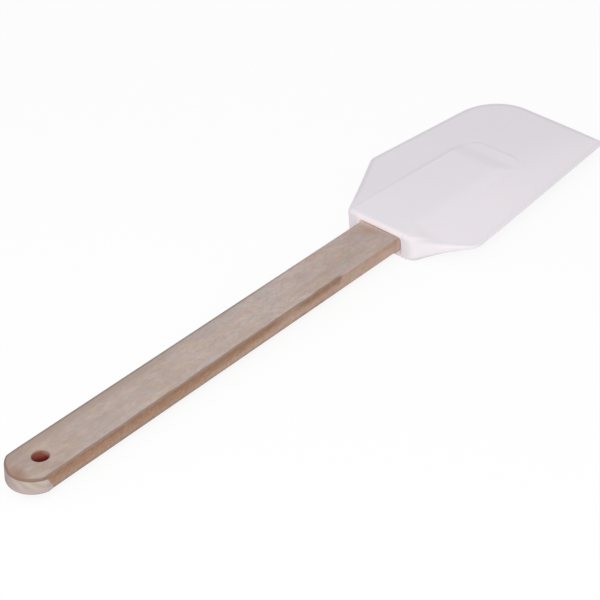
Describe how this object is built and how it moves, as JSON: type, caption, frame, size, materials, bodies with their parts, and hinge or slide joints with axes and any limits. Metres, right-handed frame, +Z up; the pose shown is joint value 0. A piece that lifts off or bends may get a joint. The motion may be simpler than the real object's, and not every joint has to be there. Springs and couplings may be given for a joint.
{
  "type": "rubber spatula",
  "caption": "Bowl scraper: a flat wooden handle with a hanging hole, its tongue held in a moulded white rubber blade with one sharp and one rounded tip corner.",
  "frame": {"origin": "bottom centre of the bounding box, with the spatula lying level on its flat side", "axes": "+X along the handle to the blade's tip, +Y to the blade's rounded corner, +Z up through the flat sides"},
  "size_m": [0.3496, 0.087, 0.0132],
  "materials": {
    "beech": "sanded, unvarnished",
    "white_rubber": "moulded, satin"
  },
  "bodies": {
    "root": {"handle": "beech", "blade": "white_rubber"}
  },
  "joints": []
}
